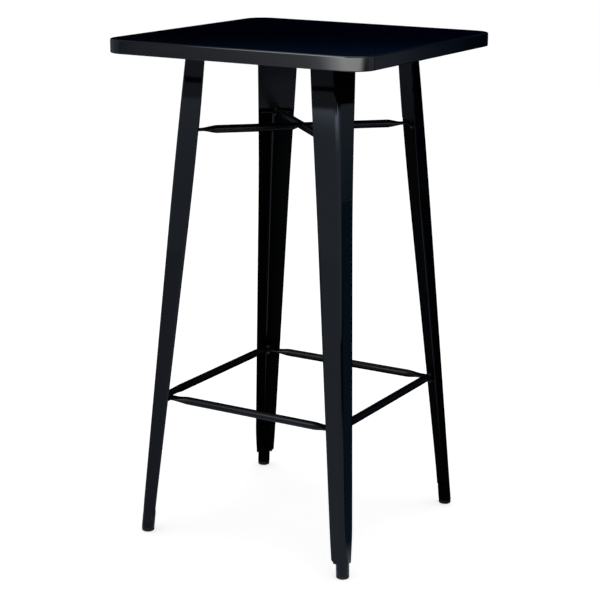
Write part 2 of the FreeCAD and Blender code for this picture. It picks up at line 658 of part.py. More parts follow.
def make_bolts(label, spots, seat, length, head_up):
    """Button-head bolts with a hexagon socket; the head's seat lies at a given height."""
    body = new_body(label)
    pads = []
    for name, radius, height, below in (
        ("shanks", "sizes.bolt_diameter / 2", length, head_up),
        ("heads", "sizes.bolt_head_diameter / 2", "sizes.bolt_head_height", not head_up),
    ):
        discs = new_sketch(body, name, lift=seat)
        for x, y in spots:
            add_circle(discs, x, y, radius)
        pad = add_pad(body, discs, height)
        pad.Reversed = below
        pads.append(pad)
    crown = f"({seat} {'+' if head_up else '-'} sizes.bolt_head_height)"
    dome = round_level_edges(body, pads[-1], crown, "sizes.bolt_dome")
    sockets = new_sketch(body, "sockets", lift=crown)
    for x, y in spots:
        add_hexagon(sockets, x, y, "sizes.bolt_socket")
    cut = add_cut(body, sockets, "sizes.socket_depth", upwards=not head_up)
    repeat_about_axis(body, [*pads, dome, cut])


def make_nuts(label, spots, low):
    """Hexagon nuts whose lower faces lie at a given height."""
    body = new_body(label)
    outline = new_sketch(body, "outline", lift=low)
    for x, y in spots:
        add_hexagon(outline, x, y, "sizes.nut_flats")
        add_circle(outline, x, y, "(sizes.bolt_diameter / 2 + sizes.thread_clearance)")
    repeat_about_axis(body, [add_pad(body, outline, "sizes.nut_height")])


def make_fasteners():
    """Bolts and nuts of the head plates, the brace and the foot ring."""
    web_top = f"({CHANNEL_UNDERSIDE} + sizes.channel_sheet)"
    past_nut = "sizes.nut_height + sizes.bolt_tip"
    make_bolts("leg_bolts", HEAD_BOLTS, LEG_TOP,
               f"(sizes.head_plate_thickness + sizes.channel_sheet + {past_nut})", False)
    make_nuts("leg_weld_nuts", HEAD_BOLTS, web_top)
    brace = [(BRACE_BOLT, BRACE_BOLT)]
    make_bolts("brace_bolts", brace, f"({BRACE_GUSSET_TOP} + {BLADE})",
               f"({BLADE} + sizes.gusset_thickness + {past_nut})", True)
    make_nuts("brace_nuts", brace, f"({BRACE_GUSSET_TOP} - sizes.gusset_thickness - sizes.nut_height)")
    rail = [(RAIL_BOLT, RAIL_BOLT)]
    make_bolts("rail_bolts", rail, f"({RAIL_GUSSET_TOP} + 2 * {BLADE})",
               f"(2 * {BLADE} + sizes.gusset_thickness + {past_nut})", True)
    make_nuts("rail_nuts", rail, f"({RAIL_GUSSET_TOP} - sizes.gusset_thickness - sizes.nut_height)")


def write_parts():
    """Checks every object and sub-part, then writes each sub-part to its own file."""
    doc.recompute()
    for item in doc.Objects:
        if "Invalid" in item.State or "Error" in item.State:
            raise RuntimeError(f"{item.Label} failed: {item.State}")
    for body in parts:
        if body.Shape.isNull() or not body.Shape.isValid():
            raise RuntimeError(f"{body.Label} has no valid shape")
    os.makedirs("parts", exist_ok=True)
    for body in parts:
        body.Shape.exportStep(f"parts/{body.Label}.step")


fill_sheet()
make_table_top()
make_top_channel("top_channel_back", 0)
make_top_channel("top_channel_front", 180)
for corner_name in CORNERS:
    make_leg(corner_name)
    make_leg_plates(corner_name)
    make_leg_web(corner_name)
    make_rubber_foot(corner_name)
make_brace()
for side_name in SIDES:
    make_foot_rail(side_name)
make_fasteners()
write_parts()
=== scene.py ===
"""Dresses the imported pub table: smooth pressed-steel surfaces, black finishes, a studio and the camera."""

import logging
import math
from dataclasses import dataclass
from enum import Enum

import bpy
import numpy as np
from mathutils import Matrix


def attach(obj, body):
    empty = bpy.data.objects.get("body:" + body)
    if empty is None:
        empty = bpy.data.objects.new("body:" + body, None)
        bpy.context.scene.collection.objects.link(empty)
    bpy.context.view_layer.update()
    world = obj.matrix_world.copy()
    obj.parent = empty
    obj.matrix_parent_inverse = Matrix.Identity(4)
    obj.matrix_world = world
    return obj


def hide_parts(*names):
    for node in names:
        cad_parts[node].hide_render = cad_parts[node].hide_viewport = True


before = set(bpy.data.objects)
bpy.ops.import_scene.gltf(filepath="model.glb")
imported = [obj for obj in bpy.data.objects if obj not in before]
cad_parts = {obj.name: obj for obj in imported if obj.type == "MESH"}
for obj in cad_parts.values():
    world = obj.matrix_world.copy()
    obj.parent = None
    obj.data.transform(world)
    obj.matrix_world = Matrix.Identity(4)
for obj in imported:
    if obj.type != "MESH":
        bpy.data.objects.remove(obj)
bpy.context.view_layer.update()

LOG = logging.getLogger("pub_table")
MM = 0.001
BODY = "root"
TABLE_HEIGHT = 1070.0
SHARP_ANGLE = math.radians(35)
SAME_FACE = math.cos(math.radians(20))
QUARTER_TURN = math.pi / 2
FULL_TURN = 2 * math.pi
TINY = 1e-9

Colour = tuple[float, float, float]
Stops = tuple[tuple[float, Colour], ...]
Source = bpy.types.NodeSocket | float | tuple[float, ...]


class Corner(Enum):
    """Corners of the table, each with the turn in degrees that takes the drawn quarter there."""

    RIGHT = 0
    BACK = 90
    LEFT = 180
    FRONT = 270


class Ending(Enum):
    """Ways to close the two ends of a carried section."""

    POLE = "fan to the middle of the end ring"
    LADDER = "strip between the two halves of the end ring"
    LOOP = "last ring joined to the first"


class Slot(Enum):
    """Material slots of the record, handed to the drawn pieces, which don't use them."""

    TOP = "top_coat"
    LEG = "leg_coat"
    ROD = "rod_coat"
    RUBBER = "foot_rubber"


# Surfaces on parameter grids


def eased(share: np.ndarray) -> np.ndarray:
    """Share from 0 to 1 with a soft start and stop: 3 s^2 - 2 s^3, held at 0 and 1 outside."""
    held = np.clip(share, 0.0, 1.0)
    return held * held * (3.0 - 2.0 * held)


def spans(*stretches: tuple[float, float, int]) -> np.ndarray:
    """Even steps through neighbouring stretches.

    Args:
        stretches: start, stop and number of steps of each stretch, which begins where the last one stops.

    Returns:
        All values in order, each meeting point once.
    """
    runs = [np.linspace(start, stop, steps, endpoint=False) for start, stop, steps in stretches]
    return np.concatenate([*runs, [stretches[-1][1]]])


def turned(points: np.ndarray, degrees: float) -> np.ndarray:
    """Points turned about the vertical axis of the table.

    Args:
        points: coordinates, with x, y and z along the last axis.
        degrees: turn, counted from +X towards +Y.

    Returns:
        The turned coordinates.
    """
    angle = math.radians(degrees)
    turn = np.array([[math.cos(angle), -math.sin(angle), 0.0],
                     [math.sin(angle), math.cos(angle), 0.0],
                     [0.0, 0.0, 1.0]])
    return points @ turn.T


@dataclass
class Shell:
    """Closed surface made of a section that is carried through rows of points.

    grid holds rows x columns x 3 coordinates in millimetres; the columns always close on themselves. dull
    marks the quads between rows that take a piece's second finish, rows - 1 x columns. shading gives normals
    to shade with, rows x columns x 3, which are zero where the surface keeps its own.
    """

    grid: np.ndarray
    ending: Ending
    dull: np.ndarray | None = None
    shading: np.ndarray | None = None

    def points(self) -> np.ndarray:
        """All points of the grid, row by row, then the two poles if there are any.

        Returns:
            Points x 3 coordinates.
        """
        flat = self.grid.reshape(-1, 3)
        if self.ending is not Ending.POLE:
            return flat
        return np.concatenate([flat, self.grid[:1].mean(axis=1), self.grid[-1:].mean(axis=1)])

    def faces(self) -> list[np.ndarray]:
        """Quads between neighbouring rows and columns, and the faces that close the ends.

        Returns:
            Arrays of point numbers, one row per face.
        """
        rows, columns = self.grid.shape[:2]
        bands = rows if self.ending is Ending.LOOP else rows - 1
        row, column = np.meshgrid(np.arange(bands), np.arange(columns), indexing="ij")
        here = row * columns
        above = (row + 1) % rows * columns
        beside = (column + 1) % columns
        quads = np.stack([here + column, here + beside, above + beside, above + column], axis=-1)
        made = [quads.reshape(-1, 4)]
        last = (rows - 1) * columns
        ring = np.arange(columns)
        following = (ring + 1) % columns
        if self.ending is Ending.POLE:
            pole = np.full(columns, rows * columns)
            made.append(np.stack([following, ring, pole], axis=-1))
            made.append(np.stack([last + ring, last + following, pole + 1], axis=-1))
        if self.ending is Ending.LADDER:
            near = np.arange(columns // 2 - 1)
            far = columns - 1 - near
            made.append(np.stack([near + 1, near, far, far - 1], axis=-1))
            made.append(last + np.stack([near, near + 1, far - 1, far], axis=-1))
        return self.outward(made)

    def outward(self, made: list[np.ndarray]) -> list[np.ndarray]:
        """Turns the faces round where the volume that they enclose, a sum of corner pyramids, is negative.

        Args:
            made: arrays of point numbers, one row per face.

        Returns:
            The same faces, looking outwards.
        """
        points = self.points()
        volume = 0.0
        for block in made:
            first = points[block[:, 0]]
            for step in range(1, block.shape[1] - 1):
                cross = np.cross(points[block[:, step]], points[block[:, step + 1]])
                volume += float(np.einsum("ij,ij->", first, cross))
        return made if volume > 0.0 else [block[:, ::-1] for block in made]

    def finish_numbers(self) -> np.ndarray:
        """Number of the finish of each face, 1 where the quads are dull, else 0.

        Returns:
            One number per face, in the order of the faces.
        """
        numbers = np.zeros(sum(len(block) for block in self.faces()), dtype=np.int32)
        if self.dull is not None:
            numbers[:self.dull.size] = self.dull.ravel()
        return numbers

    def shading_normals(self) -> np.ndarray:
        """Shading normal of every point, made one unit long.

        Returns:
            Points x 3 parts, zero where the surface keeps its own normal.
        """
        wanted = np.zeros((len(self.points()), 3))
        if self.shading is not None:
            flat = self.shading.reshape(-1, 3)
            wanted[:len(flat)] = flat / np.maximum(np.linalg.norm(flat, axis=1, keepdims=True), TINY)
        return wanted


def shade(mesh: bpy.types.Mesh, wanted: np.ndarray) -> None:
    """Shades a mesh with given normals, on the faces that already look about the same way.

    Args:
        mesh: mesh to shade.
        wanted: unit normal of each point, zero where the mesh keeps its own.
    """
    normals = np.empty(len(mesh.loops) * 3, dtype=np.float32)
    mesh.corner_normals.foreach_get("vector", normals)
    normals = normals.reshape(-1, 3)
    points = np.empty(len(mesh.loops), dtype=np.int32)
    mesh.loops.foreach_get("vertex_index", points)
    given = wanted[points]
    alike = np.einsum("ij,ij->i", normals, given) > SAME_FACE
    mesh.normals_split_custom_set(np.where(alike[:, None], given, normals).tolist())


def make_piece(name: str, shells: list[Shell], slot: Slot, nodes: list[str],
               *finishes: bpy.types.Material) -> None:
    """Puts shells into one mesh object that rides on the table and stands for CAD nodes.

    Args:
        name: name of the new piece.
        shells: closed surfaces of the piece, in millimetres in the table's frame.
        slot: material slot of the record; not used.
        nodes: CAD nodes that the piece replaces.
        finishes: material of the piece, and that of its dull quads if it has any.
    """
    points: list[np.ndarray] = []
    faces: list[list[int]] = []
    count = 0
    for shell in shells:
        points.append(shell.points())
        for block in shell.faces():
            faces.extend((block + count).tolist())
        count += len(points[-1])
    mesh = bpy.data.meshes.new(name)
    mesh.from_pydata((np.concatenate(points) * MM).tolist(), [], faces)
    mesh.polygons.foreach_set("use_smooth", np.ones(len(mesh.polygons), dtype=bool))
    mesh.set_sharp_from_angle(angle=SHARP_ANGLE)
    for finish in finishes:
        mesh.materials.append(finish)
    if len(finishes) > 1:
        numbers = np.concatenate([shell.finish_numbers() for shell in shells])
        mesh.polygons.foreach_set("material_index", numbers)
    mesh.update()
    if any(shell.shading is not None for shell in shells):
        shade(mesh, np.concatenate([shell.shading_normals() for shell in shells]))
    piece = bpy.data.objects.new(name, mesh)
    bpy.context.scene.collection.objects.link(piece)
    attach(piece, BODY)
    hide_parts(*nodes)
    LOG.info("%s: %d faces", name, len(faces))


# Finishes


class NodeTree:
    """Shorthand for the nodes of one material or world."""

    def __init__(self, owner: bpy.types.Material | bpy.types.World, output: str) -> None:
        """Empties the owner's shader tree and gives it an output node.

        Args:
            owner: material or world.
            output: kind of the output node, Material or World.
        """
        owner.use_nodes = True
        self.tree = owner.node_tree
        self.tree.nodes.clear()
        self.output = self.tree.nodes.new(f"ShaderNodeOutput{output}")

    def add(self, kind: str, **settings: object) -> bpy.types.ShaderNode:
        """Adds a node and sets its properties, or its sockets where the name is a socket's.

        Args:
            kind: node type without its prefix.
            settings: properties, or socket values with spaces written as underscores.

        Returns:
            The new node.
        """
        node = self.tree.nodes.new(f"ShaderNode{kind}")
        for key, setting in settings.items():
            if hasattr(node, key):
                setattr(node, key, setting)
            else:
                node.inputs[key.replace("_", " ")].default_value = setting
        return node

    def feed(self, node: bpy.types.ShaderNode, *sources: Source) -> bpy.types.NodeSocket:
        """Puts sources into a node's first inputs, each an output to link or a plain value.

        Args:
            node: node to feed.
            sources: outputs or values, in the order of the inputs.

        Returns:
            The node's first output.
        """
        for target, source in zip(node.inputs, sources):
            if isinstance(source, bpy.types.NodeSocket):
                self.tree.links.new(source, target)
            else:
                target.default_value = source
        return node.outputs[0]

    def show(self, shader: bpy.types.NodeSocket) -> None:
        """Links a shader to the tree's output."""
        self.tree.links.new(shader, self.output.inputs["Surface"])

    def math(self, operation: str, *sources: Source) -> bpy.types.NodeSocket:
        """Result of a Math node."""
        return self.feed(self.add("Math", operation=operation), *sources)

    def scale(self, source: bpy.types.NodeSocket, low: float, high: float, to_low: float = 0.0,
              to_high: float = 1.0) -> bpy.types.NodeSocket:
        """Source mapped from low..high onto to_low..to_high and held there."""
        return self.feed(self.add("MapRange"), source, low, high, to_low, to_high)

    def glowing(self, colour: Source, strength: Source) -> bpy.types.NodeSocket:
        """Emission of a colour and a strength."""
        return self.feed(self.add("Emission"), colour, strength)

    def ramp(self, source: bpy.types.NodeSocket, stops: Stops) -> bpy.types.NodeSocket:
        """Colour from a ramp.

        Args:
            source: place on the ramp, in the stops' own unit.
            stops: place and colour of each stop, in order.

        Returns:
            The colour output.
        """
        first, last = stops[0][0], stops[-1][0]
        node = self.add("ValToRGB")
        self.tree.links.new(self.scale(source, first, last), node.inputs["Fac"])
        marks = node.color_ramp.elements
        while len(marks) < len(stops):
            marks.new(1.0)
        for mark, (place, colour) in zip(marks, stops):
            mark.position = (place - first) / (last - first)
            mark.color = (*colour, 1.0)
        return node.outputs["Color"]

    def noise(self, cells: float, detail: float) -> bpy.types.NodeSocket:
        """Noise on Object coordinates.

        Args:
            cells: cells per metre.
            detail: number of finer layers.

        Returns:
            The grey output.
        """
        node = self.add("TexNoise", Scale=cells, Detail=detail)
        self.tree.links.new(self.add("TexCoord").outputs["Object"], node.inputs["Vector"])
        return node.outputs["Fac"]


@dataclass(frozen=True)
class Coat:
    """Dark skin on a piece: two near blacks, mottled finely, a cloudy roughness and a faint peel.

    Colours are linear, cells are per metre and the depth is in metres. middle is the part of a noise that
    is spread over the whole change.
    """

    name: str
    dark: Colour
    light: Colour
    smooth: float
    rough: float
    specular: float
    peel_cells: float = 700.0
    peel_detail: float = 2.0
    peel_depth: float = 0.00002
    peel_strength: float = 0.06
    cloud_cells: float = 9.0
    cloud_detail: float = 3.0
    middle: tuple[float, float] = (0.3, 0.7)

    def build(self) -> bpy.types.Material:
        """Makes the material: a cloud noise sets the roughness, a fine one mixes the blacks and is the peel.

        Returns:
            The new material.
        """
        material = bpy.data.materials.new(self.name)
        nodes = NodeTree(material, "Material")
        shader = nodes.add("BsdfPrincipled", Metallic=0.0, Specular_IOR_Level=self.specular)
        cloud = nodes.noise(self.cloud_cells, self.cloud_detail)
        sheen = nodes.scale(cloud, *self.middle, self.smooth, self.rough)
        fine = nodes.noise(self.peel_cells, self.peel_detail)
        tint = nodes.add("Mix", data_type="RGBA")
        tint.inputs["A"].default_value = (*self.dark, 1.0)
        tint.inputs["B"].default_value = (*self.light, 1.0)
        peel = nodes.add("Bump", Strength=self.peel_strength, Distance=self.peel_depth)
        for source, target in ((sheen, shader.inputs["Roughness"]),
                               (nodes.scale(fine, *self.middle), tint.inputs["Factor"]),
                               (tint.outputs["Result"], shader.inputs["Base Color"]),
                               (fine, peel.inputs["Height"]),
                               (peel.outputs["Normal"], shader.inputs["Normal"])):
            nodes.tree.links.new(source, target)
        nodes.show(shader.outputs["BSDF"])
        return material


DEEP_BLACK: Colour = (0.0009, 0.0010, 0.0013)
SOFT_BLACK: Colour = (0.0014, 0.0016, 0.0020)

TOP_GLOSS = Coat("gloss_black_top", DEEP_BLACK, SOFT_BLACK, smooth=0.02, rough=0.04, specular=0.62)
LEG_GLOSS = Coat("gloss_black_legs", DEEP_BLACK, SOFT_BLACK, smooth=0.015, rough=0.03, specular=0.25)
WEB_SATIN = Coat("satin_black_webs", DEEP_BLACK, SOFT_BLACK, smooth=0.24, rough=0.30, specular=0.25)
ROD_GLOSS = Coat("gloss_black_rods", (0.0012, 0.0014, 0.0018), (0.0020, 0.0023, 0.0028),
                 smooth=0.20, rough=0.27, specular=0.18)
# Inner faces of the legs below the brace: a darker black that hardly reflects, painted shade inside the
# angle.
SHADED_INSIDE = Coat("inner_shade_black", (0.0007, 0.0008, 0.0009), (0.0011, 0.0012, 0.0014),
              smooth=0.45, rough=0.55, specular=0.03)
SATIN = Coat("satin_black_coat", (0.0012, 0.0012, 0.0014), (0.0020, 0.0020, 0.0022),
             smooth=0.40, rough=0.50, specular=0.15)
ZINC = Coat("black_zinc", (0.0040, 0.0040, 0.0044), (0.0080, 0.0080, 0.0085),
            smooth=0.28, rough=0.36, specular=0.40)
RUBBER = Coat("matt_black_rubber", (0.0050, 0.0050, 0.0052), (0.0090, 0.0090, 0.0092),
              smooth=0.60, rough=0.70, specular=0.30)


# Sub-assemblies


@dataclass
class TableTop:
    """Pressed square tray: flat face, rounded upper edge, rim with a turned-in hem.

    Sizes in millimetres, leans in radians. edge and fold are the bends above and below the rim. flat_shares
    are the rows of the flat face as shares of the outermost one, face_insets those beside it, and rim_rises
    those of the rim above its foot. The leans are those of the rim's shading.
    """

    finish: bpy.types.Material
    height: float = TABLE_HEIGHT
    half: float = 300.0
    corner: float = 47.0
    sheet: float = 1.2
    edge: float = 3.0
    rim: float = 28.5
    hem: float = 12.0
    fold: float = 2.0
    flat_inset: float = 30.0
    flat_shares: tuple[float, ...] = (0.04, 0.15, 0.3, 0.45, 0.6, 0.75, 0.88, 1.0)
    face_insets: tuple[float, ...] = (12.0, 5.0)
    rim_rises: tuple[float, ...] = (16.0, 7.0)
    lean_side: float = math.radians(6.0)
    lean_corner: float = math.radians(9.5)
    lean_run: float = 70.0
    corner_steps: int = 24
    side_steps: int = 14
    bend_steps: int = 9

    def outline(self) -> tuple[np.ndarray, np.ndarray]:
        """Core square and outward directions of the rounded outline, one column per point.

        A column's place at inset d is core + (corner - d) * direction: along a side the core point moves and
        the direction stays, round a corner the core point stays and the direction turns.

        Returns:
            Core points and unit directions, columns x 2 each.
        """
        core = self.half - self.corner
        along = np.linspace(-core, core, self.side_steps, endpoint=False)
        angle = np.linspace(0.0, QUARTER_TURN, self.corner_steps, endpoint=False)
        places = np.concatenate([np.stack([np.full_like(along, core), along], axis=-1),
                                 np.full((self.corner_steps, 2), core)])
        headings = np.concatenate([np.tile([1.0, 0.0], (self.side_steps, 1)),
                                   np.stack([np.cos(angle), np.sin(angle)], axis=-1)])
        flat = np.zeros((len(places), 1))
        quarters = [(turned(np.hstack([places, flat]), corner.value)[:, :2],
                     turned(np.hstack([headings, flat]), corner.value)[:, :2]) for corner in Corner]
        return np.concatenate([one for one, _ in quarters]), np.concatenate([two for _, two in quarters])

    def profile(self) -> np.ndarray:
        """Rows from the middle of the face over the edge, down the rim, round the hem and back underneath.

        A bend is a quarter circle, radius * (1 - sine) and radius * (1 - cosine) away from the corner that
        it rounds. The hem's lip is a half circle as thick as the sheet.

        Returns:
            Inset, height and shrink of each row.
        """
        quarter = np.linspace(0.0, QUARTER_TURN, self.bend_steps)
        half_turn = np.linspace(0.0, math.pi, self.bend_steps)
        shrink = np.array(self.flat_shares)
        beside = np.array(self.face_insets)
        rises = np.array(self.rim_rises)
        wide = np.ones_like(quarter)
        foot = self.height - self.rim
        under = self.height - self.sheet
        inner = self.edge - self.sheet
        lip = self.sheet / 2
        rows = [
            (np.full_like(shrink, self.flat_inset), np.full_like(shrink, self.height), shrink),
            (beside, np.full_like(beside, self.height), np.ones_like(beside)),
            (self.edge * (1 - np.sin(quarter)), self.height - self.edge * (1 - np.cos(quarter)), wide),
            (np.zeros_like(rises), foot + rises, np.ones_like(rises)),
            (self.fold * (1 - np.cos(quarter)), foot + self.fold * (1 - np.sin(quarter)), wide),
            (self.hem - lip + lip * np.sin(half_turn), foot + lip * (1 - np.cos(half_turn)), wide),
            (self.sheet + lip * (1 - np.sin(quarter)),
             foot + self.sheet + lip * (1 - np.cos(quarter)), wide),
            (self.edge - inner * np.cos(quarter), under - inner * (1 - np.sin(quarter)), wide),
            (np.full_like(shrink, self.flat_inset), np.full_like(shrink, under), shrink[::-1]),
        ]
        return np.stack([np.concatenate(part) for part in zip(*rows)], axis=-1)

    def rim_shading(self, inset: np.ndarray, level: np.ndarray, plan: np.ndarray,
                    heading: np.ndarray) -> np.ndarray:
        """Shading normals that lean the drawn rim back a little, and more round the corners.

        The lean is even along the sides and grows, with a soft start and stop, over the last stretch before
        a corner, where the smaller of a point's two distances from the middle nears that of the corner.

        Args:
            inset: inset of each row.
            level: height of each row.
            plan: place of each point, seen from above.
            heading: outward direction of each column.

        Returns:
            Normals on the rim's rows, zero on the others.
        """
        nearer = np.abs(plan).min(axis=-1)
        share = eased((nearer - self.half + self.corner + self.lean_run) / self.lean_run)
        rise = np.tan(self.lean_side + (self.lean_corner - self.lean_side) * share)
        normals = np.concatenate([np.broadcast_to(heading, plan.shape), rise[..., None]], axis=-1)
        return normals * ((inset < TINY) & (level < self.height - self.edge + TINY))

    def build(self) -> None:
        """Carries the rows round the outline: (core + (corner - inset) * direction) * shrink."""
        core, heading = self.outline()
        inset, level, shrink = (part[:, None, None] for part in self.profile().T)
        plan = (core + (self.corner - inset) * heading) * shrink
        upright = np.broadcast_to(level, (*plan.shape[:2], 1))
        shell = Shell(np.concatenate([plan, upright], axis=-1), Ending.POLE,
                      shading=self.rim_shading(inset, level, plan, heading))
        make_piece("table_top_sheet", [shell], Slot.TOP, ["table_top"], self.finish)


@dataclass
class Leg:
    """Folded angle-section leg with an opened upper end and a round neck, and its rubber foot.

    Sizes in millimetres. The drawn leg is the right one, and the corner's turn takes it to its place. spread
    and width are given at the floor and at the height of the top. The angle section ends at the shoulder,
    and below blend it swells into the neck, which stands proud of its outer faces. narrowed and widened
    change a flange's width at the shoulder, and notch rounds its end there. Below dull_end the inner faces
    take the inside finish, a darker black that hardly reflects: painted shade inside the angle.
    """

    corner: Corner
    finish: bpy.types.Material
    inside: bpy.types.Material
    rubber: bpy.types.Material
    table_height: float = TABLE_HEIGHT
    spread_floor: float = 255.3
    spread_top: float = 178.5
    width_floor: float = 32.0
    width_top: float = 62.0
    sheet: float = 2.0
    edge_turns: tuple[float, ...] = (72.0, 36.0)
    bend: float = 6.0
    bend_top: float = 15.0
    upper_end: float = 1049.8
    flare_start: float = 662.8
    flare: float = math.radians(12.0)
    dull_end: float = 885.0
    shoulder: float = 38.0
    blend: float = 110.0
    narrowed: float = 7.0
    widened: float = 4.0
    notch: float = 7.0
    neck: float = 13.9
    proud: float = 2.1
    neck_middle: float = 20.0
    neck_end: float = 8.5
    neck_lip: float = 0.6
    neck_rise: float = 7.0
    neck_draw: float = 0.5
    foot_inset: float = 0.3
    foot_round: float = 3.0
    foot_soft: float = 0.8
    tread_rings: tuple[float, ...] = (4.0, 8.0)
    stem_gap: float = 0.2
    stem_end: float = 33.0
    stem_soft: float = 1.0
    stem_ring: float = 4.0
    blend_steps: int = 14
    straight_steps: int = 14
    flare_steps: int = 30
    fold_steps: int = 20
    flange_steps: int = 8
    lip_steps: int = 9
    foot_steps: int = 8
    ring_steps: int = 48

    @property
    def name(self) -> str:
        """Corner's name as the CAD nodes write it."""
        return self.corner.name.lower()

    def spread_at(self, level: np.ndarray) -> np.ndarray:
        """Distance of the outer faces from the middle: falls evenly with height."""
        return self.spread_floor + (self.spread_top - self.spread_floor) * level / self.table_height

    def half_section(self) -> tuple[np.ndarray, np.ndarray, np.ndarray, np.ndarray]:
        """Outer half of the section, from the middle of one sheet edge over the fold to the other.

        Each column has a share of the fold (0 on the first flange, 1 on the second), a share of the flange
        away from the fold, a depth below the outer face, and a reach past the flange, both in sheet halves.
        A sheet edge is round: 1 - the cosine of its turns deep, and their sine far.

        Returns:
            Share of the fold, share of the flange, depth and reach of every column.
        """
        edge = np.radians(self.edge_turns)
        out = np.linspace(1.0, 0.0, self.flange_steps, endpoint=False)
        fold = np.linspace(0.0, 1.0, self.fold_steps)
        none = np.zeros_like
        share = np.concatenate([none(edge), none(out), fold, none(out) + 1.0, none(edge) + 1.0])
        flange = np.concatenate([none(edge) + 1.0, out, none(fold), out[::-1], none(edge) + 1.0])
        depth = np.concatenate([1 - np.cos(edge), none(out), none(fold), none(out), 1 - np.cos(edge[::-1])])
        reach = np.concatenate([np.sin(edge), none(out), none(fold), none(out), np.sin(edge[::-1])])
        return share, flange, depth, reach

    def width_change(self, second: np.ndarray) -> np.ndarray:
        """Change of a flange's width at the shoulder: along Y narrower, along X wider at the left and right.

        Args:
            second: whether a column is on the drawn leg's second flange, the one along Y.

        Returns:
            Change for each column.
        """
        sideways = self.corner in (Corner.RIGHT, Corner.LEFT)
        return np.where(second == sideways, -self.narrowed, self.widened * sideways)

    def angle_shell(self) -> Shell:
        """Folded sheet: the half section and its inner copy, carried up the leg with sizes by height.

        A point lies at fold middle + (bend - depth) * heading + distance along the flange * its direction.
        The heading turns from one flange's outer side to the other's. Each flange is opened by the flare,
        which grows with the square of the share of the opened stretch, as the bend does. Towards the
        shoulder the bend swells, the section steps out and the flanges change their width, all with the
        square of the share of that stretch, and the notch between a flange and the neck is rounded out.
        The opened stretch is shaded as if its flanges weren't twisted: heading, and the leg's lean times
        the sum of the heading's two parts.

        Returns:
            The shell, turned into its corner.
        """
        level = spans((self.shoulder, self.blend, self.blend_steps),
                      (self.blend, self.flare_start, self.straight_steps),
                      (self.flare_start, self.upper_end, self.flare_steps))
        opened = np.clip((level - self.flare_start) / (self.upper_end - self.flare_start), 0.0, 1.0) ** 2
        swollen = np.clip((self.blend - level) / (self.blend - self.shoulder), 0.0, 1.0) ** 2
        bend = self.bend + (self.bend_top - self.bend) * opened + (self.neck - self.bend) * swollen
        width = self.width_floor + (self.width_top - self.width_floor) * level / self.table_height
        middle = self.spread_at(level) + self.proud * swollen - bend
        level, opened, swollen, bend, width, middle = (
            part[:, None] for part in (level, opened, swollen, bend, width, middle))

        share, flange, depth, reach = self.half_section()
        share, flange, reach = (np.concatenate([part, part[::-1]]) for part in (share, flange, reach))
        depth = np.concatenate([depth, (2.0 - depth)[::-1]]) * self.sheet / 2
        reach = reach * self.sheet / 2
        second = share > 0.5
        side = np.where(second, -1.0, 1.0)

        delta = self.flare * opened
        angle = QUARTER_TURN - delta - share * (QUARTER_TURN - 2 * delta)
        radius = bend - depth
        run = flange * (width - bend - self.sheet / 2 + self.width_change(second) * swollen) + reach
        x = middle + radius * np.cos(angle) - side * run * np.sin(angle)
        y = middle + radius * np.sin(angle) + side * run * np.cos(angle)
        round_off = np.clip(1.0 - (run - self.neck) / self.notch, 0.0, 1.0)
        drop = self.notch * (1.0 - np.sqrt(1.0 - round_off ** 2))
        z = level - drop * swollen ** 4

        # Inner faces below dull_end take the darker black that hardly reflects: painted shade inside the
        # angle under the brace.
        inner = (flange > 0.0) & (np.arange(len(flange)) >= len(flange) // 2)
        dull = (level[1:] < self.dull_end) & inner
        lean = (self.spread_floor - self.spread_top) / self.table_height
        normals = np.stack([np.cos(angle), np.sin(angle), lean * (np.cos(angle) + np.sin(angle))], axis=-1)
        outer = (depth < TINY) & (level > self.flare_start)
        return Shell(turned(np.stack([x, y, z], axis=-1), self.corner.value), Ending.LADDER, dull,
                     turned(normals, self.corner.value) * outer[..., None])

    def leaning_rings(self, radius: np.ndarray, level: np.ndarray, ending: Ending) -> Shell:
        """Level rings about the leaning middle line of the neck.

        A point lies at its ring's middle + radius * (cosine, sine). The middle is the place of the outer
        faces, plus proud, less the neck's radius.

        Args:
            radius: radius of each ring.
            level: height of each ring.
            ending: how the first and last ring are closed.

        Returns:
            The shell, turned into its corner.
        """
        angle = np.linspace(0.0, FULL_TURN, self.ring_steps, endpoint=False)
        middle = self.spread_at(np.maximum(level, self.neck_end)) + self.proud - self.neck
        x = middle[:, None] + radius[:, None] * np.cos(angle)
        y = middle[:, None] + radius[:, None] * np.sin(angle)
        z = np.broadcast_to(level[:, None], x.shape)
        return Shell(turned(np.stack([x, y, z], axis=-1), self.corner.value), ending)

    def neck_shell(self) -> Shell:
        """Round neck: a tube wall with a rounded lower lip and a drawn-in upper end inside the fold.

        The lip is half an ellipse: half the sheet times the turn's cosine across, and neck_lip times its
        sine down.

        Returns:
            The shell, turned into its corner.
        """
        lip = np.linspace(0.0, math.pi, self.lip_steps)
        wall = self.sheet / 2
        bore = self.neck - self.sheet
        upper = self.shoulder + self.neck_rise
        radius = np.concatenate([[self.neck - self.neck_draw, self.neck, self.neck],
                                 self.neck - wall + wall * np.cos(lip), [bore, bore]])
        level = np.concatenate([[upper, self.shoulder, self.neck_middle],
                                self.neck_end + self.neck_lip * (1 - np.sin(lip)),
                                [self.neck_middle, upper]])
        return self.leaning_rings(radius, level, Ending.LOOP)

